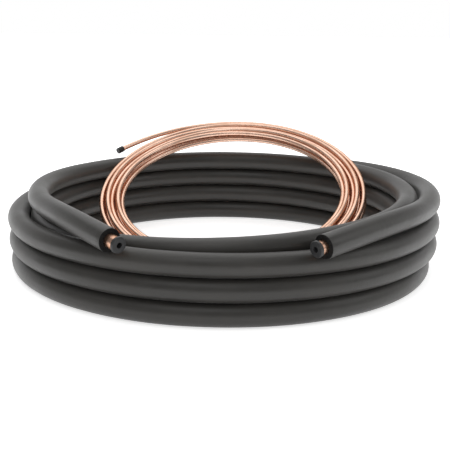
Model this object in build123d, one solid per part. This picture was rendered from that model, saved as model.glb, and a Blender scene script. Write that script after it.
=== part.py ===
from build123d import *

import os
from bisect import bisect_right
from math import cos, radians, sin, tan

import numpy as np

# A refrigerant line set as it is sold: a foam-sleeved copper tube wound into a low ring of two
# columns, with its two plugged ends on top, and a bare copper tube wound into a flat ring that
# leans in it, one edge on the floor and its back on the rim. Millimetres, floor at Z = 0, the
# sleeved coil's axis on Z, front towards -Y.

# Tubes and sleeve
SUCTION_DIAMETER = 22.225
SUCTION_WALL = 1.143
SLEEVE_WALL = 7.8375
SLEEVE_SLACK = 0.1
LIQUID_DIAMETER = 9.525
LIQUID_WALL = 0.813

# Sleeved coil
COIL_RADIUS = 379.0
TURN_GAP = 0.45
LEFT_BARE_END = 19.0
RIGHT_BARE_END = 11.0
# The sleeve is two equal lengths that butt under the turns, where the tube changes columns.
JOINT_SHARE = 0.5
JOINT_GAP = 0.3

# Bare coil
RING_RADIUS = 267.5
RING_TURNS = 9.7
RING_TURN_GAP = 0.5
RING_START_ANGLE = 127.2
RING_SIDE_SHIFT = 15.5
RING_SIDE_LEAN = -3.0
# The ring's front is its own diameter before the sleeved coil's back line, less this.
RING_FRONT_INSET = 1.747
# The upper layer lies loose: at each row's turn it stands off the lower one by that share of this.
RING_LIFT = 8.0
RING_LIFT_SHARES = [
    (0.0, 0.55), (0.15, 0.70), (0.4, 0.50), (0.65, 0.10), (0.9, 0.20), (1.15, 1.00), (1.4, 0.15),
    (1.65, 0.05), (1.9, 0.65), (2.15, 0.50), (2.4, 0.60), (2.65, 0.15), (2.9, 0.10), (3.15, 0.90),
    (3.4, 0.20), (3.65, 0.05), (3.9, 0.50), (4.15, 0.60), (4.4, 0.50), (4.65, 0.10), (4.85, 0.00),
]
# Room for the arcs of the tube, which run that much off its line
FOOT_GAP = 0.3
LEAN_GAP = 0.3
# The loose end stands off its turn, and the tucked end just makes room for its cap.
LOOSE_END_FLARE = 23.75
LOOSE_FLARE_TURN_SHARE = 0.15
TUCKED_END_FLARE = 3.0
TUCKED_FLARE_TURN_SHARE = 0.2
CROSSING_TURN_SHARE = 0.24

# Plugs in the suction tube's ends
PLUG_HEAD_DIAMETER = 26.0
PLUG_HEAD_LENGTH = 5.0
PLUG_STEM_LENGTH = 16.0
PLUG_STEM_SLACK = 0.15
PLUG_STEM_TAPER = 1.0
PLUG_EDGE_ROUND = 1.6
PLUG_HOLE_DIAMETER = 9.2
PLUG_HOLE_DEPTH = 9.0

# Caps over the liquid tube's ends
CAP_WALL = 1.6
CAP_SLACK = 0.1
CAP_LENGTH = 14.0
CAP_END_WALL = 2.4
CAP_EDGE_ROUND = 0.8
CAP_DIMPLE_DIAMETER = 4.0
CAP_DIMPLE_DEPTH = 1.0

# How the sleeved tube is laid, from its left end on top, down the inner column and up the outer
# one to its right end on top. Each row is a turn angle in degrees, clockwise from the front, and
# the places there out from the outer column's line and up from the floor turn, in lay pitches.
LAY_SHARES = [
    (24.5, 0.62, 2.875), (39.6, -0.45, 3.195), (69.8, -0.92, 3.075), (90, -0.97, 3.03),
    (130, -1.35, 2.97), (180, -1.25, 2.99),
    (230, -1.10, 3.00), (270, -0.92, 2.98), (320, -0.95, 2.66), (360, -0.97, 2.37), (400, -1.00, 2.10),
    (450, -1.04, 2.00), (540, -1.04, 2.00), (590, -1.10, 2.00), (630, -1.20, 1.98), (680, -1.10, 1.62),
    (720, -1.02, 1.36), (760, -1.02, 1.10), (810, -1.06, 1.00), (900, -1.04, 1.00), (990, -1.10, 0.98),
    (1040, -1.06, 0.62), (1080, -1.03, 0.36), (1120, -1.06, 0.10), (1170, -1.13, 0.00),
    (1260, -1.03, 0.00), (1310, -0.80, 0.00), (1350, -0.32, 0.00), (1395, -0.05, 0.00),
    (1440, 0.00, 0.00), (1530, -0.09, 0.00), (1560, 0.00, 0.10), (1620, 0.00, 0.50), (1680, 0.05, 0.92),
    (1710, 0.06, 0.97), (1800, 0.00, 1.01), (1890, 0.00, 1.01), (1920, 0.00, 1.11), (1980, 0.00, 1.51),
    (2040, 0.10, 1.93), (2070, 0.14, 1.99), (2160, 0.00, 2.02), (2250, 0.03, 2.02), (2280, 0.03, 2.12),
    (2340, 0.12, 2.55), (2400, 0.14, 2.96), (2430, 0.15, 3.01), (2453.2, 0.05, 3.055),
    (2483.4, -0.04, 3.105), (2498.5, 0.755, 2.805),
]
CORNERS_A_TURN = 12
# Share of each run that an arc takes from its corner, a little under the half that is there.
ARC_RUN_SHARE = 0.49
# Degrees: between a line's points, the lean that is clear for sure, and the last step to the rim
LINE_STEP = 2.0
STEEPEST_LEAN = 60.0
LEAN_STEP = 0.001

sleeve_bore = SUCTION_DIAMETER + 2 * SLEEVE_SLACK
sleeve_diameter = sleeve_bore + 2 * SLEEVE_WALL
lay_pitch = sleeve_diameter + TURN_GAP
suction_bore = SUCTION_DIAMETER - 2 * SUCTION_WALL
liquid_bore = LIQUID_DIAMETER - 2 * LIQUID_WALL
ring_pitch = LIQUID_DIAMETER + RING_TURN_GAP


def between(table, angle, column):
    """A table's value at an angle, in line between the two rows around it."""
    row = min(max(bisect_right([entry[0] for entry in table], angle), 1), len(table) - 1)
    before, after = table[row - 1], table[row]
    share = min(max((angle - before[0]) / (after[0] - before[0]), 0), 1)
    return before[column] + (after[column] - before[column]) * share


def corners(start, end, place):
    """Corners of a route round Z whose runs touch place(angle) = (radius, height) midway."""
    count = max(round((end - start) * CORNERS_A_TURN / 360), 1)
    step = (end - start) / count
    reach = 1 / cos(radians(step) / 2)
    stops = [(start, 1)] + [(start + (k + 0.5) * step, reach) for k in range(count)] + [(end, 1)]
    points = []
    for angle, stretch in stops:
        radius, height = place(angle)
        turn = radians(angle)
        points.append(Vector(-radius * stretch * sin(turn), -radius * stretch * cos(turn), height))
    return points


def arc_radii(points):
    """The largest tangent arc at each corner of a route, whose end runs have one arc each."""
    runs = [(after - before).length for before, after in zip(points, points[1:])]
    rooms = [ARC_RUN_SHARE * run for run in runs]
    rooms[0] *= 2
    rooms[-1] *= 2
    radii = []
    for k in range(1, len(points) - 1):
        turn = radians((points[k] - points[k - 1]).get_angle(points[k + 1] - points[k]))
        radii.append(min(rooms[k - 1], rooms[k]) / tan(turn / 2))
    return radii


def route(points, first_straight, last_straight):
    """A path of straight runs and arcs through corners, with a straight length added at each end.

    Gives the path, and the planes on its first and last points that face out of it.
    """
    ends = []
    for end, neighbour, straight in (
        (points[0], points[1], first_straight),
        (points[-1], points[-2], last_straight),
    ):
        out = (end - neighbour).normalized()
        ends.append(Plane(origin=end + out * straight, z_dir=out))
    path = FilletPolyline(ends[0].origin, *points[1:-1], ends[1].origin, radius=arc_radii(points))
    return path, ends


def hollow(path, outer, inner):
    """A round tube along a path."""
    section = Circle(outer / 2) - Circle(inner / 2)
    return sweep(Plane(origin=path @ 0, z_dir=path % 0) * section, path=path)


def lay_place(angle):
    """Radius and height of the sleeved tube's line at a turn angle."""
    radius = COIL_RADIUS + lay_pitch * between(LAY_SHARES, angle, 1)
    return radius, sleeve_diameter / 2 + lay_pitch * between(LAY_SHARES, angle, 2)


sleeve_points = corners(LAY_SHARES[0][0], LAY_SHARES[-1][0], lay_place)
sleeve_path, _ = route(sleeve_points, 0, 0)
joint = Plane(origin=sleeve_path @ JOINT_SHARE, z_dir=sleeve_path % JOINT_SHARE)
suction_insulation = hollow(sleeve_path, sleeve_diameter, sleeve_bore)
suction_insulation -= joint * Cylinder((sleeve_diameter + TURN_GAP) / 2, JOINT_GAP)
suction_path, suction_ends = route(sleeve_points, LEFT_BARE_END, RIGHT_BARE_END)
suction_tube = hollow(suction_path, SUCTION_DIAMETER, suction_bore)


def plug():
    """A turned rubber plug: a drilled round head and a tapered stem into the tube's bore."""
    head = Pos(Z=PLUG_HEAD_LENGTH / 2) * Cylinder(PLUG_HEAD_DIAMETER / 2, PLUG_HEAD_LENGTH)
    head = fillet(head.edges().group_by(Axis.Z)[-1], PLUG_EDGE_ROUND)
    stem_radius = suction_bore / 2 - PLUG_STEM_SLACK
    stem = Pos(Z=-PLUG_STEM_LENGTH / 2) * Cone(stem_radius - PLUG_STEM_TAPER, stem_radius, PLUG_STEM_LENGTH)
    hole_floor = PLUG_HEAD_LENGTH - PLUG_HOLE_DEPTH
    hole = Pos(Z=hole_floor + PLUG_HOLE_DEPTH / 2) * Cylinder(PLUG_HOLE_DIAMETER / 2, PLUG_HOLE_DEPTH)
    return head + stem - hole


suction_plug_left = suction_ends[0] * plug()
suction_plug_right = suction_ends[1] * plug()


def ring_place(angle):
    """Radius and height of the bare tube in its own ring: a spiral in above, and out below."""
    turns = (angle - RING_START_ANGLE) / 360
    left = RING_TURNS - turns
    inward = ring_pitch * min(turns, left)
    drop = min(max((turns - left) / (2 * CROSSING_TURN_SHARE) + 0.5, 0), 1)
    lift = RING_LIFT * (1 - drop) * between(RING_LIFT_SHARES, turns, 1)
    loose = max(1 - turns / LOOSE_FLARE_TURN_SHARE, 0) ** 2
    tucked = max(1 - left / TUCKED_FLARE_TURN_SHARE, 0) ** 2
    radius = RING_RADIUS - inward + LOOSE_END_FLARE * loose + TUCKED_END_FLARE * tucked
    return radius, ring_pitch * (0.5 - drop) + lift


def line(start, end, place):
    """Points close together on the line that a route follows."""
    turns = np.arange(start, end, LINE_STEP)
    spots = np.array([place(angle) for angle in turns])
    turns = np.radians(turns)
    return np.stack([-spots[:, 0] * np.sin(turns), -spots[:, 0] * np.cos(turns), spots[:, 1]], axis=1)


ring_end_angle = RING_START_ANGLE + 360 * RING_TURNS
ring_points = corners(RING_START_ANGLE, ring_end_angle, ring_place)
cap_depth = CAP_LENGTH - CAP_END_WALL
cap_bore = LIQUID_DIAMETER + 2 * CAP_SLACK
cap_diameter = cap_bore + 2 * CAP_WALL
liquid_path, liquid_ends = route(ring_points, cap_depth, cap_depth)
ring_line = line(RING_START_ANGLE, ring_end_angle, ring_place)
cap_reaches = (-cap_depth, 0, CAP_END_WALL)
cap_line = [tuple(end.origin + end.z_dir * reach) for end in liquid_ends for reach in cap_reaches]
outer_line = np.vstack([ring_line, cap_line])
outer_radii = np.repeat([LIQUID_DIAMETER / 2, cap_diameter / 2], [len(ring_line), len(cap_line)])
sleeve_line = line(LAY_SHARES[0][0], LAY_SHARES[-1][0], lay_place)


def lean(tilt):
    """The bare ring's place when it leans back by a tilt on the floor, and its gap to the sleeve."""
    turned = Rotation(0, RING_SIDE_LEAN, 0) * Rotation(tilt, 0, 0)
    frame = Plane(turned)
    spots = outer_line @ np.array([tuple(frame.x_dir), tuple(frame.y_dir), tuple(frame.z_dir)])
    front, foot = spots[:, 1].min(), (spots[:, 2] - outer_radii).min()
    front_place = COIL_RADIUS - 2 * RING_RADIUS + RING_FRONT_INSET
    shift = np.array([RING_SIDE_SHIFT, front_place - front, FOOT_GAP - foot])
    apart = np.linalg.norm((spots + shift)[:, None] - sleeve_line[None], axis=2).min(axis=1) - outer_radii
    return Pos(*shift) * turned, apart.min() - sleeve_diameter / 2


clear_tilt, low_tilt = STEEPEST_LEAN, 0.0
while clear_tilt - low_tilt > LEAN_STEP:
    middle = (clear_tilt + low_tilt) / 2
    if lean(middle)[1] > LEAN_GAP:
        clear_tilt = middle
    else:
        low_tilt = middle
ring_stand = lean(clear_tilt)[0]
print(f"The bare ring leans {clear_tilt:.2f} degrees from flat")

liquid_tube = hollow(liquid_path, LIQUID_DIAMETER, liquid_bore)


def cap():
    """A moulded cup over the tube's end, with a dimple in its closed face."""
    cup = Pos(Z=CAP_END_WALL - CAP_LENGTH / 2) * Cylinder(cap_diameter / 2, CAP_LENGTH)
    cup = fillet(cup.edges().group_by(Axis.Z)[-1], CAP_EDGE_ROUND)
    dimple = Pos(Z=CAP_END_WALL - CAP_DIMPLE_DEPTH / 2) * Cylinder(CAP_DIMPLE_DIAMETER / 2, CAP_DIMPLE_DEPTH)
    return cup - Pos(Z=-cap_depth / 2) * Cylinder(cap_bore / 2, cap_depth) - dimple


liquid_cap_loose = ring_stand * (liquid_ends[0] * cap())
liquid_cap_tucked = ring_stand * (liquid_ends[1] * cap())
liquid_tube = ring_stand * liquid_tube

os.makedirs("parts", exist_ok=True)
for name, solid in {
    "suction_tube": suction_tube,
    "suction_insulation": suction_insulation,
    "suction_plug_left": suction_plug_left,
    "suction_plug_right": suction_plug_right,
    "liquid_tube": liquid_tube,
    "liquid_cap_loose": liquid_cap_loose,
    "liquid_cap_tucked": liquid_cap_tucked,
}.items():
    export_step(solid, f"parts/{name}.step")
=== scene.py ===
"""Looks of a coiled refrigerant line set: a copper tube in a foam sleeve, and a bare copper tube.

Everything is in metres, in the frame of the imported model: the floor is Z = 0, the sleeved coil's
axis is Z and the front is -Y.
"""

from __future__ import annotations

import logging
import math
from bisect import bisect_right
from collections.abc import Callable, Sequence
from dataclasses import dataclass
from enum import Enum
from typing import Any

import bmesh
import bpy
from mathutils import Euler, Matrix, Vector

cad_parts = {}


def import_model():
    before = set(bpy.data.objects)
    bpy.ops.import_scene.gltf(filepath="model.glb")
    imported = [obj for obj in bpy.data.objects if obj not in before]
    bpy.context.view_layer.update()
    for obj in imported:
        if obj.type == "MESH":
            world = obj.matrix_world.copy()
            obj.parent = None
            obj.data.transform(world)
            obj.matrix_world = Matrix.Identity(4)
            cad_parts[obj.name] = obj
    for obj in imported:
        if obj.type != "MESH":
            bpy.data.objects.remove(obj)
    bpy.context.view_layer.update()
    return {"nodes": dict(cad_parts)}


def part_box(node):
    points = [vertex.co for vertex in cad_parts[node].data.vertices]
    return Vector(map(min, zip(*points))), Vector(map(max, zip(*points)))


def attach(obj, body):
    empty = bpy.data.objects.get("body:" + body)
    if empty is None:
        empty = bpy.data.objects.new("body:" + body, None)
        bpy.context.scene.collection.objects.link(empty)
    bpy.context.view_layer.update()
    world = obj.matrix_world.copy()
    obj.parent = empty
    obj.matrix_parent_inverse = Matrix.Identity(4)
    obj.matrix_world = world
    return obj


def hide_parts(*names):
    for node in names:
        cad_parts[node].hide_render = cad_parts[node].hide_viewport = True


LOG = logging.getLogger("line_set")
BODY = "root"
DEGREES_A_TURN = 360
CORNERS_A_TURN = 12
# The point attribute that every tube carries: across the tube in X and Y, along it in Z.
SKIN_ATTRIBUTE = "skin"
# The place of the cut ends' material on the sleeve, after the skin's.
CUT_MATERIAL = 1
# A Mix node's sockets for the share, the first and the second value, of numbers and of colours.
NUMBER_MIX = (0, 2, 3)
COLOUR_MIX = (0, 6, 7)
COLOUR_MIX_RESULT = 2
WHITE = (1.0, 1.0, 1.0, 1.0)

Colour = tuple[float, float, float]
Span = tuple[float, float]
Triple = tuple[float, float, float]
Socket = bpy.types.NodeSocket

# The values of a finish's cloud between which its roughness changes.
ROUGHNESS_SPAN: Span = (0.3, 0.7)


class Slot(Enum):
    """The record's material slots of the pieces made here."""

    COPPER = "copper"
    FOAM = "foam"


class Grain(Enum):
    """What a finish's pattern follows."""

    OBJECT = "object"
    SKIN = "skin"


class Stored(Enum):
    """Kinds of value that geometry nodes store on points."""

    NUMBER = "FLOAT"
    VECTOR = "FLOAT_VECTOR"


@dataclass(frozen=True)
class Pattern:
    """A noise pattern, and what it does on a finish.

    Attributes:
        scale: Its features in a metre.
        detail: Its octaves.
        fineness: How strong the fine octaves are.
        comes_in: The values of the pattern between which it comes in.
        tint: The share of the finish's second colour where it is fully in.
        depth: The height of its relief.
    """

    scale: float
    detail: float = 2.0
    fineness: float = 0.5
    comes_in: Span = (0.0, 1.0)
    tint: float = 0.0
    depth: float = 0.0


class Graph:
    """A node tree, with short ways to add a node and to join sockets."""

    def __init__(self, tree: bpy.types.NodeTree) -> None:
        """Keep the tree.

        Args:
            tree: The tree that gets the nodes.
        """
        self.tree = tree

    def put(self, value: Any, socket: Socket) -> None:
        """Give an input socket its value.

        Args:
            value: A constant, or the output socket that it is joined to.
            socket: The input socket.
        """
        if isinstance(value, Socket):
            self.tree.links.new(value, socket)
        else:
            socket.default_value = value

    def add(self, kind: str, inputs: dict[Any, Any] | None = None, **settings: Any) -> bpy.types.Node:
        """Add a node.

        Args:
            kind: The node's type name.
            inputs: A value or an output socket for each input, by its name or place.
            **settings: The node's own properties.

        Returns:
            The new node.
        """
        node = self.tree.nodes.new(kind)
        for name, value in settings.items():
            setattr(node, name, value)
        for key, value in (inputs or {}).items():
            self.put(value, node.inputs[key])
        return node

    def math(self, operation: str, *values: float | Socket) -> Socket:
        """Add a math node and give its result.

        Args:
            operation: What it works out.
            *values: Its numbers or sockets, in order.

        Returns:
            The result's socket.
        """
        return self.add("ShaderNodeMath", dict(enumerate(values)), operation=operation).outputs[0]

    def ramp(self, value: Socket, span: Span, result: Span = (0.0, 1.0)) -> Socket:
        """Map a span of a value to another span, cut off at its ends.

        Args:
            value: The socket that is read.
            span: Its values at the start and the end.
            result: The results at the start and the end.

        Returns:
            The result's socket.
        """
        inputs = dict(enumerate((value, *span, *result)))
        return self.add("ShaderNodeMapRange", inputs, interpolation_type="SMOOTHSTEP").outputs[0]

    def mix(self, share: float | Socket, first: float | Socket, second: float | Socket) -> Socket:
        """Mix two numbers.

        Args:
            share: How much of the second number there is.
            first: A number or its socket.
            second: A number or its socket.

        Returns:
            The mixed number's socket.
        """
        return self.add("ShaderNodeMix", dict(zip(NUMBER_MIX, (share, first, second)))).outputs[0]

    def blend(self, share: float | Socket, first: Colour, second: Colour) -> Socket:
        """Mix two colours.

        Args:
            share: How much of the second colour there is.
            first: A colour.
            second: A colour.

        Returns:
            The mixed colour's socket.
        """
        inputs = dict(zip(COLOUR_MIX, (share, (*first, 1.0), (*second, 1.0))))
        return self.add("ShaderNodeMix", inputs, data_type="RGBA").outputs[COLOUR_MIX_RESULT]

    def noise(self, place: Socket, pattern: Pattern) -> Socket:
        """Add a noise pattern.

        Args:
            place: The coordinates that it is read at.
            pattern: Its numbers.

        Returns:
            The pattern's value, about one half on average.
        """
        values = {"Vector": place, "Scale": pattern.scale, "Detail": pattern.detail,
                  "Roughness": pattern.fineness}
        return self.add("ShaderNodeTexNoise", values).outputs[0]

    def store(self, geometry: Socket, name: str, value: Socket, kind: Stored) -> Socket:
        """Store a value on a geometry's points.

        Args:
            geometry: The geometry.
            name: The attribute's name.
            value: The value.
            kind: The value's kind.

        Returns:
            The geometry with the attribute.
        """
        inputs = {"Geometry": geometry, "Name": name, "Value": value}
        node = "GeometryNodeStoreNamedAttribute"
        return self.add(node, inputs, data_type=kind.value, domain="POINT").outputs[0]

    def stored(self, name: str, kind: Stored) -> Socket:
        """Read a stored value.

        Args:
            name: The attribute's name.
            kind: The value's kind.

        Returns:
            The value's socket.
        """
        node = self.add("GeometryNodeInputNamedAttribute", {"Name": name}, data_type=kind.value)
        return node.outputs["Attribute"]


@dataclass(frozen=True)
class Finish:
    """A surface finish, from which a material is made.

    Attributes:
        name: The material's name.
        colour: Its main colour.
        roughness: Its middle roughness.
        grain: What its pattern follows.
        roughness_change: What is added to the roughness where its cloud is low, and where it is high.
    """

    name: str
    colour: Colour
    roughness: float
    grain: Grain = Grain.OBJECT
    roughness_change: Span = (0.0, 0.0)

    def start(self) -> tuple[bpy.types.Material, Graph, bpy.types.Node, Socket]:
        """Make the material and the nodes that every finish has.

        Returns:
            The material, its graph, its shader and the coordinates of its pattern.
        """
        material = bpy.data.materials.new(self.name)
        material.use_nodes = True
        graph = Graph(material.node_tree)
        shader = material.node_tree.nodes["Principled BSDF"]
        shader.inputs["Base Color"].default_value = (*self.colour, 1.0)
        shader.inputs["Roughness"].default_value = self.roughness
        if self.grain is Grain.SKIN:
            place = graph.add("ShaderNodeAttribute", attribute_name=SKIN_ATTRIBUTE).outputs["Vector"]
        else:
            place = graph.add("ShaderNodeTexCoord").outputs["Object"]
        return material, graph, shader, place

    def tint(self, graph: Graph, second: Colour, layers: list[tuple[Socket, Pattern]]) -> Socket:
        """Tint the finish's colour with a second one by patterns.

        Args:
            graph: The material's graph.
            second: The second colour.
            layers: Each pattern's value, with its numbers.

        Returns:
            The tinted colour.
        """
        shares = [graph.ramp(value, pattern.comes_in, (0.0, pattern.tint)) for value, pattern in layers]
        share = shares[0]
        for more in shares[1:]:
            share = graph.math("ADD", share, more)
        return graph.blend(share, self.colour, second)

    def clouded_roughness(self, graph: Graph, cloud: Socket) -> Socket:
        """The finish's roughness, changed by its cloud.

        Args:
            graph: The material's graph.
            cloud: The cloud's value.

        Returns:
            The roughness.
        """
        low, high = self.roughness_change
        return graph.ramp(cloud, ROUGHNESS_SPAN, (self.roughness + low, self.roughness + high))

    @staticmethod
    def stretched(graph: Graph, place: Socket, scale: Triple) -> Socket:
        """Squeeze coordinates, so that a pattern on them is stretched.

        Args:
            graph: The material's graph.
            place: The coordinates.
            scale: The squeeze on each axis.

        Returns:
            The squeezed coordinates.
        """
        return graph.add("ShaderNodeMapping", {"Vector": place, "Scale": scale}).outputs[0]

    @staticmethod
    def bump(graph: Graph, shader: bpy.types.Node, heights: list[tuple[Socket, float]]) -> None:
        """Give a shader its relief.

        Args:
            graph: The material's graph.
            shader: The shader.
            heights: Patterns from 0 to 1, each with its height, the largest first.
        """
        below: Socket | None = None
        for pattern, depth in heights:
            inputs: dict[str, Any] = {"Height": pattern, "Distance": depth, "Strength": 1.0}
            if below is not None:
                inputs["Normal"] = below
            below = graph.add("ShaderNodeBump", inputs).outputs[0]
        graph.put(below, shader.inputs["Normal"])


@dataclass(frozen=True)
class FoamSkin(Finish):
    """The sleeve's matte skin, with fine pores, faint draw lines and a little dust."""

    roughness_change: Span = (-0.06, 0.06)
    dust: Colour = (0.068, 0.063, 0.056)
    cloud: Pattern = Pattern(9.0, 3.0, 0.55, comes_in=(0.35, 0.75), tint=0.4)
    lines: Pattern = Pattern(420.0, comes_in=(0.5, 0.8), tint=0.18, depth=0.00005)
    pores: Pattern = Pattern(1500.0, fineness=0.6, comes_in=(0.55, 0.8), tint=0.2, depth=0.00012)
    dimples: Pattern = Pattern(140.0, depth=0.00025)
    line_stretch: Triple = (1.0, 1.0, 0.03)
    sheen: float = 0.12
    sheen_roughness: float = 0.45

    def material(self) -> bpy.types.Material:
        """Make the material.

        Returns:
            The material.
        """
        material, graph, shader, place = self.start()
        cloud = graph.noise(place, self.cloud)
        lines = graph.noise(self.stretched(graph, place, self.line_stretch), self.lines)
        pores = graph.noise(place, self.pores)
        dimples = graph.noise(place, self.dimples)
        layers = [(cloud, self.cloud), (lines, self.lines), (pores, self.pores)]
        graph.put(self.tint(graph, self.dust, layers), shader.inputs["Base Color"])
        graph.put(self.clouded_roughness(graph, cloud), shader.inputs["Roughness"])
        shader.inputs["Sheen Weight"].default_value = self.sheen
        shader.inputs["Sheen Roughness"].default_value = self.sheen_roughness
        heights = [(dimples, self.dimples.depth), (lines, self.lines.depth), (pores, self.pores.depth)]
        self.bump(graph, shader, heights)
        return material


@dataclass(frozen=True)
class FoamCut(Finish):
    """The sleeve's cut face, open cells and all, with painted shade in the cells' hollows."""

    # Painted shade: the near-black colour at the middle of each cell, where its hollow lies.
    hollow_shade: Colour = (0.004, 0.004, 0.004)
    torn: Pattern = Pattern(260.0, 3.0, 0.6, depth=0.0006)
    cell_scale: float = 1100.0
    cell_span: Span = (0.1, 0.7)
    cell_depth: float = 0.0005
    gloss: float = 0.25

    def material(self) -> bpy.types.Material:
        """Make the material.

        Returns:
            The material.
        """
        material, graph, shader, place = self.start()
        cells = graph.add("ShaderNodeTexVoronoi", {"Vector": place, "Scale": self.cell_scale})
        torn = graph.noise(place, self.torn)
        edges = graph.ramp(cells.outputs["Distance"], self.cell_span)
        # The cells' middles get the painted shade colour, and their walls the foam's own colour.
        graph.put(graph.blend(edges, self.hollow_shade, self.colour), shader.inputs["Base Color"])
        shader.inputs["Specular IOR Level"].default_value = self.gloss
        self.bump(graph, shader, [(torn, self.torn.depth), (edges, self.cell_depth)])
        return material


@dataclass(frozen=True)
class DrawnCopper(Finish):
    """Bright drawn copper, with draw lines, a faint tarnish and handling marks."""

    roughness_change: Span = (-0.05, 0.06)
    tarnish: Colour = (0.58, 0.31, 0.19)
    edge: Colour = (0.62, 0.36, 0.22)
    lines: Pattern = Pattern(900.0, 3.0, 0.6, comes_in=(0.45, 0.75), tint=0.16, depth=0.00001)
    cloud: Pattern = Pattern(14.0, 3.0, 0.6, comes_in=(0.4, 0.7), tint=0.45)
    marks: Pattern = Pattern(160.0, fineness=0.65, comes_in=(0.62, 0.75), tint=0.12, depth=0.000012)
    line_stretch: Triple = (1.0, 1.0, 0.02)
    mark_span: Span = (0.6, 0.75)
    mark_roughness: float = 0.06

    def material(self) -> bpy.types.Material:
        """Make the material.

        Returns:
            The material.
        """
        material, graph, shader, place = self.start()
        lines = graph.noise(self.stretched(graph, place, self.line_stretch), self.lines)
        cloud = graph.noise(place, self.cloud)
        marks = graph.noise(place, self.marks)
        layers = [(cloud, self.cloud), (lines, self.lines), (marks, self.marks)]
        graph.put(self.tint(graph, self.tarnish, layers), shader.inputs["Base Color"])
        marked = graph.ramp(marks, self.mark_span, (0.0, self.mark_roughness))
        rough = graph.math("ADD", self.clouded_roughness(graph, cloud), marked)
        graph.put(rough, shader.inputs["Roughness"])
        shader.inputs["Metallic"].default_value = 1.0
        shader.inputs["Specular Tint"].default_value = (*self.edge, 1.0)
        self.bump(graph, shader, [(lines, self.lines.depth), (marks, self.marks.depth)])
        return material


@dataclass(frozen=True)
class Moulded(Finish):
    """Moulded rubber or plastic, with a fine mould texture and rubbed spots."""

    roughness_change: Span = (-0.08, 0.08)
    rubbed: Colour = (0.05, 0.05, 0.05)
    cloud: Pattern = Pattern(120.0, 3.0, 0.6, comes_in=(0.5, 0.8), tint=0.5)
    texture: Pattern = Pattern(2400.0, fineness=0.55, depth=0.00008)

    def material(self) -> bpy.types.Material:
        """Make the material.

        Returns:
            The material.
        """
        material, graph, shader, place = self.start()
        cloud = graph.noise(place, self.cloud)
        texture = graph.noise(place, self.texture)
        graph.put(self.tint(graph, self.rubbed, [(cloud, self.cloud)]), shader.inputs["Base Color"])
        graph.put(self.clouded_roughness(graph, cloud), shader.inputs["Roughness"])
        self.bump(graph, shader, [(texture, self.texture.depth)])
        return material


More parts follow.
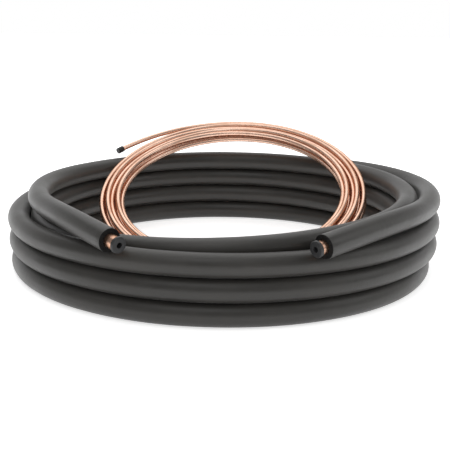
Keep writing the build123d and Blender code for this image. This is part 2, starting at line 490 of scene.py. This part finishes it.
class TubeTree:
    """Geometry nodes that run a round skin along the curve of the object they are on."""

    spline_order = 3
    spline_resolution = 16
    wave_octaves = 1.0

    def __init__(self) -> None:
        """Build the tree."""
        self.tree = bpy.data.node_groups.new("tube_along_route", "GeometryNodeTree")
        self.keys: dict[str, str] = {}
        face = self.tree.interface
        face.new_socket("Geometry", in_out="INPUT", socket_type="NodeSocketGeometry")
        for name, kind in (
            ("From Share", "NodeSocketFloat"),
            ("To Share", "NodeSocketFloat"),
            ("End Inset", "NodeSocketFloat"),
            ("Radius", "NodeSocketFloat"),
            ("Sides", "NodeSocketInt"),
            ("Step", "NodeSocketFloat"),
            ("Unevenness", "NodeSocketFloat"),
            ("Unevenness Scale", "NodeSocketFloat"),
            ("Seed", "NodeSocketFloat"),
            ("Close Ends", "NodeSocketBool"),
            ("Inside Out", "NodeSocketBool"),
            ("Material", "NodeSocketMaterial"),
        ):
            self.keys[name] = face.new_socket(name, in_out="INPUT", socket_type=kind).identifier
        face.new_socket("Geometry", in_out="OUTPUT", socket_type="NodeSocketGeometry")
        self.build()

    def build(self) -> None:
        """Add and join the nodes."""
        graph = Graph(self.tree)
        given = graph.add("NodeGroupInput").outputs
        route = graph.add("GeometryNodeSetCurveNormal", {0: given["Geometry"]}, mode="Z_UP").outputs[0]
        whole = graph.add("GeometryNodeCurveLength", {0: route}).outputs[0]
        first = graph.math("MULTIPLY_ADD", whole, given["From Share"], given["End Inset"])
        last = graph.math("SUBTRACT", graph.math("MULTIPLY", whole, given["To Share"]), given["End Inset"])
        trim = graph.add("GeometryNodeTrimCurve", {"Curve": route}, mode="LENGTH")
        for place, value in (("Start", first), ("End", last)):
            graph.put(value, next(k for k in trim.inputs if k.name == place and k.enabled))
        steps = {"Curve": trim.outputs[0], "Length": given["Step"]}
        route = graph.add("GeometryNodeResampleCurve", steps, mode="LENGTH").outputs[0]
        reach = graph.add("GeometryNodeSplineParameter").outputs["Length"]
        route = graph.store(route, "along", reach, Stored.NUMBER)
        circle = {"Resolution": given["Sides"], "Radius": given["Radius"]}
        ring = graph.add("GeometryNodeCurvePrimitiveCircle", circle).outputs[0]
        spot = graph.add("GeometryNodeInputPosition").outputs[0]
        ring = graph.store(ring, "around", spot, Stored.VECTOR)
        swept = {"Curve": route, "Profile Curve": ring, "Fill Caps": given["Close Ends"]}
        tube = graph.add("GeometryNodeCurveToMesh", swept).outputs[0]
        lift = graph.add("ShaderNodeCombineXYZ", {"Z": graph.stored("along", Stored.NUMBER)}).outputs[0]
        around = graph.stored("around", Stored.VECTOR)
        skin = graph.add("ShaderNodeVectorMath", {0: around, 1: lift}, operation="ADD").outputs[0]
        tube = graph.store(tube, SKIN_ATTRIBUTE, skin, Stored.VECTOR)
        for name in ("along", "around"):
            tube = graph.add("GeometryNodeRemoveAttribute", {"Geometry": tube, "Name": name}).outputs[0]
        self.finish(graph, given, tube)

    def finish(self, graph: Graph, given: Any, tube: Socket) -> None:
        """Make the skin uneven, turn it the right way and give it its material.

        Args:
            graph: The tree's graph.
            given: The tree's inputs.
            tube: The plain tube.
        """
        wave = graph.add(
            "ShaderNodeTexNoise",
            {"Vector": graph.stored(SKIN_ATTRIBUTE, Stored.VECTOR), "Scale": given["Unevenness Scale"],
             "W": given["Seed"], "Detail": self.wave_octaves},
            noise_dimensions="4D",
        ).outputs[0]
        # The wave is at most 1, so the skin is only pressed in and stays within its radius.
        press = graph.math("MULTIPLY", graph.math("SUBTRACT", wave, 1.0), given["Unevenness"])
        normal = graph.add("GeometryNodeInputNormal").outputs[0]
        push = graph.add("ShaderNodeVectorMath", {0: normal, "Scale": press}, operation="SCALE").outputs[0]
        tube = graph.add("GeometryNodeSetPosition", {"Geometry": tube, "Offset": push}).outputs[0]
        turned = graph.add("GeometryNodeFlipFaces", {0: tube, "Selection": given["Inside Out"]}).outputs[0]
        smooth = graph.add("GeometryNodeSetShadeSmooth", {0: turned}).outputs[0]
        solid = graph.add("GeometryNodeRealizeInstances", {0: smooth}).outputs[0]
        dressed = graph.add("GeometryNodeSetMaterial", {0: solid, "Material": given["Material"]}).outputs[0]
        graph.add("NodeGroupOutput", {0: dressed})

    def run(self, name: str, points: list[Vector], values: dict[str, Any]) -> bpy.types.Mesh:
        """Run the tree on a smooth route.

        Args:
            name: The name of the mesh.
            points: The control points of the route.
            values: The tree's inputs, by name. Those not given are zero or off.

        Returns:
            The tube's mesh.
        """
        curve = bpy.data.curves.new(name, "CURVE")
        curve.dimensions = "3D"
        curve.resolution_u = self.spline_resolution
        spline = curve.splines.new("NURBS")
        spline.points.add(len(points) - 1)
        for spot, point in zip(spline.points, points):
            spot.co = (*point, 1.0)
        spline.order_u = self.spline_order
        spline.use_endpoint_u = True
        spline.resolution_u = self.spline_resolution
        holder = bpy.data.objects.new(name, curve)
        bpy.context.scene.collection.objects.link(holder)
        modifier = holder.modifiers.new("tube", "NODES")
        modifier.node_group = self.tree
        for key, value in values.items():
            modifier[self.keys[key]] = value
        graph = bpy.context.evaluated_depsgraph_get()
        mesh = bpy.data.meshes.new_from_object(holder.evaluated_get(graph), depsgraph=graph)
        mesh.name = name
        bpy.data.objects.remove(holder)
        bpy.data.curves.remove(curve)
        return mesh


def add_piece(name: str, mesh: bpy.types.Mesh, nodes: list[str]) -> bpy.types.Object:
    """Put a finished mesh into the scene in place of model nodes.

    Args:
        name: The piece's name.
        mesh: Its mesh, in place.
        nodes: The nodes that it stands for.

    Returns:
        The piece.
    """
    piece = bpy.data.objects.new(name, mesh)
    bpy.context.scene.collection.objects.link(piece)
    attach(piece, BODY)
    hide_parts(*nodes)
    LOG.info("%s: %d faces", name, len(mesh.polygons))
    return piece


def clamped(value: float) -> float:
    """Cut a value off below 0 and above 1."""
    return min(max(value, 0.0), 1.0)


def between(table: Sequence[tuple[float, ...]], at: float, column: int) -> float:
    """A table's value, in line between the two rows around a place.

    Args:
        table: Rows in order of their first value.
        at: The place in the first values.
        column: The column that is read.

    Returns:
        The value.
    """
    row = min(max(bisect_right([entry[0] for entry in table], at), 1), len(table) - 1)
    before, after = table[row - 1], table[row]
    part = clamped((at - before[0]) / (after[0] - before[0]))
    return before[column] + (after[column] - before[column]) * part


def corner_points(start: float, end: float, place: Callable[[float], Span]) -> list[Vector]:
    """Control points of a line that goes round Z.

    Args:
        start: The turn angle of its first point, in degrees clockwise from the front.
        end: The turn angle of its last point.
        place: The line's radius and height at a turn angle.

    Returns:
        The points, those between the ends set out so that the line midway between two is in place.
    """
    count = max(round((end - start) * CORNERS_A_TURN / DEGREES_A_TURN), 1)
    step = (end - start) / count
    reach = 1 / math.cos(math.radians(step) / 2)
    stops = [(start, 1.0)] + [(start + (k + 0.5) * step, reach) for k in range(count)] + [(end, 1.0)]
    points = []
    for angle, stretch in stops:
        radius, height = place(angle)
        turn = math.radians(angle)
        reached = radius * stretch
        points.append(Vector((-reached * math.sin(turn), -reached * math.cos(turn), height)))
    return points


@dataclass
class SleevedCoil:
    """The foam sleeve, laid down an inner column and up an outer one."""

    sleeve_diameter: float = 0.0381
    sleeve_bore: float = 0.022425
    coil_radius: float = 0.379
    turn_gap: float = 0.00045
    edge_round: float = 0.0012
    edge_angles: tuple[float, ...] = (30.0, 60.0, 90.0)
    face_dip: float = 0.0007
    face_rings: int = 5
    swell: float = 0.00025
    unevenness: float = 0.0004
    unevenness_scale: float = 22.0
    seed: float = 3.0
    sides: int = 40
    step: float = 0.012
    bore_step: float = 0.045
    joint_share: float = 0.5
    joint_gap_share: float = 0.00002
    # Turn angle in degrees, clockwise from the front, then the places out from the outer column's
    # line and up from the floor turn, in lay pitches.
    lay_shares: tuple[Triple, ...] = (
        (24.5, 0.62, 2.875), (39.6, -0.45, 3.195), (69.8, -0.92, 3.075), (90, -0.97, 3.03),
        (130, -1.35, 2.97), (180, -1.25, 2.99),
        (230, -1.10, 3.00), (270, -0.92, 2.98), (320, -0.95, 2.66), (360, -0.97, 2.37), (400, -1.00, 2.10),
        (450, -1.04, 2.00), (540, -1.04, 2.00), (590, -1.10, 2.00), (630, -1.20, 1.98), (680, -1.10, 1.62),
        (720, -1.02, 1.36), (760, -1.02, 1.10), (810, -1.06, 1.00), (900, -1.04, 1.00), (990, -1.10, 0.98),
        (1040, -1.06, 0.62), (1080, -1.03, 0.36), (1120, -1.06, 0.10), (1170, -1.13, 0.00),
        (1260, -1.03, 0.00), (1310, -0.80, 0.00), (1350, -0.32, 0.00), (1395, -0.05, 0.00),
        (1440, 0.00, 0.00), (1530, -0.09, 0.00), (1560, 0.00, 0.10), (1620, 0.00, 0.50), (1680, 0.05, 0.92),
        (1710, 0.06, 0.97), (1800, 0.00, 1.01), (1890, 0.00, 1.01), (1920, 0.00, 1.11), (1980, 0.00, 1.51),
        (2040, 0.10, 1.93), (2070, 0.14, 1.99), (2160, 0.00, 2.02), (2250, 0.03, 2.02), (2280, 0.03, 2.12),
        (2340, 0.12, 2.55), (2400, 0.14, 2.96), (2430, 0.15, 3.01), (2453.2, 0.05, 3.055),
        (2483.4, -0.04, 3.105), (2498.5, 0.755, 2.805),
    )

    def place(self, angle: float) -> Span:
        """Radius and height of the sleeve's line.

        Args:
            angle: The turn angle in degrees.

        Returns:
            The radius and the height.
        """
        pitch = self.sleeve_diameter + self.turn_gap
        out, up = (between(self.lay_shares, angle, column) for column in (1, 2))
        return self.coil_radius + pitch * out, self.sleeve_diameter / 2 + pitch * up

    def build(self, tubes: TubeTree, skin: bpy.types.Material, cut: bpy.types.Material) -> bpy.types.Object:
        """Make the sleeve's two lengths: skin, bore and cut ends.

        Args:
            tubes: The tree that makes tubes.
            skin: The material of the skin and the bore.
            cut: The material of the cut ends.

        Returns:
            The piece.
        """
        points = corner_points(self.lay_shares[0][0], self.lay_shares[-1][0], self.place)
        half_gap = self.joint_gap_share / 2
        work = bmesh.new()
        for first, last in ((0.0, self.joint_share - half_gap), (self.joint_share + half_gap, 1.0)):
            common = {
                "From Share": first, "To Share": last, "End Inset": self.edge_round, "Sides": self.sides,
                "Material": skin}
            outer = tubes.run("foam_skin", points, common | {
                "Radius": self.sleeve_diameter / 2 + self.swell, "Step": self.step,
                "Unevenness": self.unevenness, "Unevenness Scale": self.unevenness_scale,
                "Seed": self.seed + first})
            bore = tubes.run("foam_bore", points, common | {
                "Radius": self.sleeve_bore / 2, "Step": self.bore_step, "Inside Out": True})
            self.join(work, outer, bore)
        # The soft foam lies flat on the floor.
        for vert in work.verts:
            vert.co.z = max(vert.co.z, 0.0)
        bmesh.ops.recalc_face_normals(work, faces=work.faces)
        mesh = bpy.data.meshes.new("foam_sleeve")
        work.to_mesh(mesh)
        work.free()
        mesh.materials.append(skin)
        mesh.materials.append(cut)
        return add_piece("foam_sleeve", mesh, ["suction_insulation"])

    def join(self, work: bmesh.types.BMesh, outer: bpy.types.Mesh, bore: bpy.types.Mesh) -> None:
        """Add a length of sleeve, its skin joined to its bore by a rounded, dished face at both ends.

        Args:
            work: The mesh that gets the length.
            outer: The skin, ring after ring of points.
            bore: The bore, likewise.
        """
        start = len(work.verts)
        work.from_mesh(outer)
        work.from_mesh(bore)
        layer = work.verts.layers.float_vector[SKIN_ATTRIBUTE]
        points = list(work.verts)
        skin_points = points[start:start + len(outer.vertices)]
        bore_points = points[start + len(outer.vertices):]
        n = self.sides
        for rim, behind, seat in (
            (skin_points[:n], skin_points[n:2 * n], bore_points[:n]),
            (skin_points[-n:], skin_points[-2 * n:-n], bore_points[-n:]),
        ):
            middle = sum((v.co for v in rim), Vector()) / n
            out = (middle - sum((v.co for v in behind), Vector()) / n).normalized()
            rings = [rim]
            for across, along in self.face_profile():
                ring = []
                for edge, hole in zip(rim, seat):
                    vert = work.verts.new(edge.co.lerp(hole.co, across) + out * along)
                    vert[layer] = edge[layer].lerp(hole[layer], across)
                    ring.append(vert)
                rings.append(ring)
            rings.append(seat)
            self.bridge(work, rings)
        bpy.data.meshes.remove(outer)
        bpy.data.meshes.remove(bore)

    def face_profile(self) -> list[Span]:
        """Shape of a cut end from the skin to the bore.

        Returns:
            The share of the way across the wall, and the place out from the last ring of the skin.
        """
        wall = (self.sleeve_diameter - self.sleeve_bore) / 2
        rounding = self.edge_round / wall
        shape = []
        for angle in self.edge_angles:
            turn = math.radians(angle)
            shape.append((rounding * (1 - math.cos(turn)), self.edge_round * math.sin(turn)))
        for k in range(1, self.face_rings + 1):
            part = k / self.face_rings
            dip = self.face_dip * math.sin(math.pi * part)
            shape.append((rounding + (1 - rounding) * part, self.edge_round - dip))
        return shape

    def bridge(self, work: bmesh.types.BMesh, rings: list[list[bmesh.types.BMVert]]) -> None:
        """Fill the space between rings of points.

        Args:
            work: The mesh.
            rings: Rings of as many points each, in order.
        """
        for before, after in zip(rings, rings[1:]):
            for k in range(self.sides):
                nxt = (k + 1) % self.sides
                face = work.faces.new((before[k], before[nxt], after[nxt], after[k]))
                face.material_index = CUT_MATERIAL
                face.smooth = True


@dataclass
class BareCoil:
    """The bare copper tube, spiralled in above and out below, leaning in the sleeved coil."""

    tube_diameter: float = 0.009525
    turn_gap: float = 0.0005
    ring_radius: float = 0.2675
    ring_turns: float = 9.7
    start_angle: float = 127.2
    lean: float = 21.46
    side_lean: float = -3.0
    lift: float = 0.008
    sway: float = 0.0033
    loose_flare: float = 0.02375
    loose_flare_turn_share: float = 0.15
    tucked_flare: float = 0.003
    tucked_flare_turn_share: float = 0.2
    crossing_turn_share: float = 0.24
    end_length: float = 0.0116
    sides: int = 20
    step: float = 0.007
    # Turn from the loose end, and the share of the lift by which the upper layer lies loose there.
    lift_shares: tuple[Span, ...] = (
        (0.0, 0.55), (0.15, 0.70), (0.25, 0.62), (0.4, 0.12), (0.65, 0.10), (0.9, 0.08), (1.15, 1.00),
        (1.4, 0.92), (1.5, 0.85), (1.65, 0.10), (1.8, 0.80), (1.9, 0.90), (2.15, 0.50), (2.4, 0.04),
        (2.65, 0.08), (2.9, 0.04), (3.03, 0.12), (3.15, 0.90), (3.4, 0.92), (3.5, 0.85), (3.65, 0.05),
        (3.8, 0.60), (3.9, 0.75), (4.15, 0.50), (4.4, 0.04), (4.65, 0.06), (4.85, 0.00),
    )
    # Turn from the loose end, and the share of the sway by which a lifted turn leans on the next one in.
    sway_shares: tuple[Span, ...] = (
        (1.2, 0.0), (1.36, 1.0), (1.44, 1.0), (1.53, 0.0), (1.77, 0.0), (1.85, 0.95), (1.92, 0.95),
        (2.03, 0.0), (3.22, 0.0), (3.36, 1.0), (3.44, 1.0), (3.53, 0.0), (3.77, 0.0), (3.86, 0.95),
        (3.94, 0.95), (4.1, 0.0),
    )

    def place(self, angle: float) -> Span:
        """Radius and height of the tube in its own ring.

        Args:
            angle: The turn angle in degrees.

        Returns:
            The radius and the height.
        """
        pitch = self.tube_diameter + self.turn_gap
        turns = (angle - self.start_angle) / DEGREES_A_TURN
        left = self.ring_turns - turns
        drop = clamped((turns - left) / (2 * self.crossing_turn_share) + 0.5)
        lift = self.lift * (1 - drop) * between(self.lift_shares, turns, 1)
        loose = max(1 - turns / self.loose_flare_turn_share, 0) ** 2
        tucked = max(1 - left / self.tucked_flare_turn_share, 0) ** 2
        radius = self.ring_radius - pitch * min(turns, left)
        radius -= self.sway * between(self.sway_shares, turns, 1)
        radius += self.loose_flare * loose + self.tucked_flare * tucked
        return radius, pitch * (0.5 - drop) + lift

    def route(self) -> list[Vector]:
        """The tube's line in its own flat ring.

        Returns:
            Its control points, from the loose end to the tucked one.
        """
        end_angle = self.start_angle + DEGREES_A_TURN * self.ring_turns
        points = corner_points(self.start_angle, end_angle, self.place)
        for end, neighbour in ((0, 1), (-1, -2)):
            points[end] += (points[end] - points[neighbour]).normalized() * self.end_length
        return points

    def build(self, tubes: TubeTree, copper: bpy.types.Material) -> bpy.types.Object:
        """Make the tube and stand it where the model's tube is.

        Args:
            tubes: The tree that makes tubes.
            copper: The tube's material.

        Returns:
            The piece.
        """
        mesh = tubes.run("bare_copper_tube", self.route(), {
            "From Share": 0.0, "To Share": 1.0, "Radius": self.tube_diameter / 2, "Sides": self.sides,
            "Step": self.step, "Close Ends": True, "Material": copper})
        turned = Euler((0, math.radians(self.side_lean), 0)).to_matrix()
        turned = turned @ Euler((math.radians(self.lean), 0, 0)).to_matrix()
        mesh.transform(turned.to_4x4())
        low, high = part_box("liquid_tube")
        spreads = [[v.co[axis] for v in mesh.vertices] for axis in range(3)]
        middle = Vector([(min(spread) + max(spread)) / 2 for spread in spreads])
        mesh.transform(Matrix.Translation((low + high) / 2 - middle))
        return add_piece("bare_copper_tube", mesh, ["liquid_tube"])


@dataclass(frozen=True)
class SoftBox:
    """A round soft light."""

    name: str
    place: Triple
    size: float
    watts: float

    def hang(self, aim: Triple) -> None:
        """Put the light into the scene.

        Args:
            aim: The spot that it shines on.
        """
        lamp = bpy.data.lights.new(self.name, "AREA")
        lamp.shape = "DISK"
        lamp.size = self.size
        lamp.energy = self.watts
        holder = bpy.data.objects.new(self.name, lamp)
        holder.location = self.place
        way = Vector(aim) - Vector(self.place)
        holder.rotation_euler = way.to_track_quat("-Z", "Y").to_euler()
        bpy.context.scene.collection.objects.link(holder)


@dataclass
class Studio:
    """Floor, light and camera."""

    floor_size: float = 30.0
    floor_shade: float = 0.9
    floor_roughness: float = 0.9
    floor_gloss: float = 0.1
    floor_glow: float = 0.64
    shadow_reach: Span = (0.5, 1.5)
    camera_place: Triple = (0.0040, -1.6067, 0.4633)
    camera_pitch: float = 13.93
    camera_roll: float = 0.653
    lens: float = 69.0
    sensor: float = 36.0
    sky_light: float = 0.5
    room_light: float = 0.28
    # Where the white backdrop ends in reflections, by how far their way goes up and to the back.
    backdrop_rise: Span = (0.2, 0.5)
    backdrop_depth: Span = (0.1, 0.6)
    soft_boxes: tuple[SoftBox, ...] = (
        SoftBox("top_softbox", (-0.2, 1.0, 2.4), 3.4, 31.0),
        SoftBox("side_softbox", (2.3, -0.6, 1.5), 1.8, 8.0),
        SoftBox("front_softbox", (-0.4, -1.5, 2.3), 1.8, 8.0),
    )
    lamp_aim: Triple = (0.0, 0.0, 0.08)

    @staticmethod
    def seen(graph: Graph) -> Socket:
        """Tell the rays that see the backdrop from those that only carry its light.

        Args:
            graph: The graph that gets the nodes.

        Returns:
            1 for the camera's rays and for those that metal and glass send on, else 0.
        """
        path = graph.add("ShaderNodeLightPath").outputs
        mirrored = graph.math("MAXIMUM", path["Is Glossy Ray"], path["Is Transmission Ray"])
        return graph.math("MAXIMUM", path["Is Camera Ray"], mirrored)

    def floor(self) -> None:
        """Lay the floor, which fades to white and keeps the object's shadow."""
        half = self.floor_size / 2
        mesh = bpy.data.meshes.new("floor")
        edge = [(-half, -half, 0), (half, -half, 0), (half, half, 0), (-half, half, 0)]
        mesh.from_pydata(edge, [], [(0, 1, 2, 3)])
        floor = bpy.data.objects.new("floor", mesh)
        bpy.context.scene.collection.objects.link(floor)
        material = bpy.data.materials.new("studio_floor")
        material.use_nodes = True
        graph = Graph(material.node_tree)
        shader = material.node_tree.nodes["Principled BSDF"]
        shader.inputs["Base Color"].default_value = (self.floor_shade,) * 3 + (1.0,)
        shader.inputs["Roughness"].default_value = self.floor_roughness
        shader.inputs["Specular IOR Level"].default_value = self.floor_gloss
        shader.inputs["Emission Color"].default_value = WHITE
        place = graph.add("ShaderNodeTexCoord").outputs["Object"]
        reach = graph.add("ShaderNodeVectorMath", {0: place}, operation="LENGTH").outputs["Value"]
        white = graph.ramp(reach, self.shadow_reach, (self.floor_glow, 1.0))
        glow = graph.math("MULTIPLY", self.seen(graph), white)
        graph.put(glow, shader.inputs["Emission Strength"])
        mesh.materials.append(material)

    def sky(self) -> None:
        """Make the backdrop, which lights the object at a plain level.

        The camera sees it white. Reflections see it white low at the back, and a dim room elsewhere.
        """
        world = bpy.data.worlds.new("studio")
        world.use_nodes = True
        bpy.context.scene.world = world
        graph = Graph(world.node_tree)
        way = graph.add("ShaderNodeTexCoord").outputs["Generated"]
        way = graph.add("ShaderNodeSeparateXYZ", {0: way}).outputs
        low = graph.ramp(way["Z"], self.backdrop_rise, (1.0, 0.0))
        back = graph.math("MULTIPLY", low, graph.ramp(way["Y"], self.backdrop_depth))
        mirrored = graph.ramp(back, (0.0, 1.0), (self.room_light, 1.0))
        path = graph.add("ShaderNodeLightPath").outputs
        shown = graph.mix(path["Is Camera Ray"], mirrored, 1.0)
        strength = graph.mix(self.seen(graph), self.sky_light, shown)
        backdrop = world.node_tree.nodes["Background"]
        backdrop.inputs["Color"].default_value = WHITE
        graph.put(strength, backdrop.inputs["Strength"])

    def camera(self) -> None:
        """Set the camera at the photograph's place."""
        data = bpy.data.cameras.new("camera")
        data.sensor_width = self.sensor
        data.lens = self.lens
        camera = bpy.data.objects.new("camera", data)
        pitch, roll = math.radians(self.camera_pitch), math.radians(self.camera_roll)
        turn = Euler((math.pi / 2 - pitch, 0, 0)).to_matrix() @ Euler((0, 0, roll)).to_matrix()
        camera.matrix_world = Matrix.Translation(self.camera_place) @ turn.to_4x4()
        bpy.context.scene.collection.objects.link(camera)
        bpy.context.scene.camera = camera

    def build(self) -> None:
        """Set the whole studio up."""
        self.floor()
        self.sky()
        for soft_box in self.soft_boxes:
            soft_box.hang(self.lamp_aim)
        self.camera()
        bpy.context.scene.view_settings.view_transform = "Standard"


def dress(nodes: dict[str, bpy.types.Object], finishes: dict[str, bpy.types.Material]) -> None:
    """Give model nodes that stay their finish.

    Args:
        nodes: The model's nodes.
        finishes: The material for each node.
    """
    for name, material in finishes.items():
        mesh = nodes[name].data
        mesh.materials.clear()
        mesh.materials.append(material)
        LOG.info("%s dressed", name)


def main() -> None:
    """Build the coil's looks."""
    logging.basicConfig(level=logging.INFO)
    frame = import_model()
    tubes = TubeTree()
    skin = FoamSkin("foam_skin", (0.033, 0.031, 0.028), roughness=0.40, grain=Grain.SKIN).material()
    cut = FoamCut("foam_cut", (0.016, 0.016, 0.016), roughness=0.9).material()
    copper = DrawnCopper("drawn_copper", (0.90, 0.62, 0.49), roughness=0.26, grain=Grain.SKIN).material()
    # The band's copper is a darker copy of the coil's: painted shade for the short tube ends that show in
    # the sleeve's mouths.
    shaded_copper_band = DrawnCopper("drawn_copper_band_painted_shade", (0.80, 0.51, 0.38), roughness=0.26).material()
    rubber = Moulded("plug_rubber", (0.024, 0.024, 0.025), roughness=0.42).material()
    cap_rubbed = (0.016, 0.016, 0.016)
    plastic = Moulded("cap_plastic", (0.006, 0.006, 0.006), roughness=0.36, rubbed=cap_rubbed).material()
    SleevedCoil().build(tubes, skin, cut)
    BareCoil().build(tubes, copper)
    dress(frame["nodes"], {
        "suction_tube": shaded_copper_band,
        "suction_plug_left": rubber,
        "suction_plug_right": rubber,
        "liquid_cap_loose": plastic,
        "liquid_cap_tucked": plastic,
    })
    Studio().build()


if __name__ == "__main__":
    main()
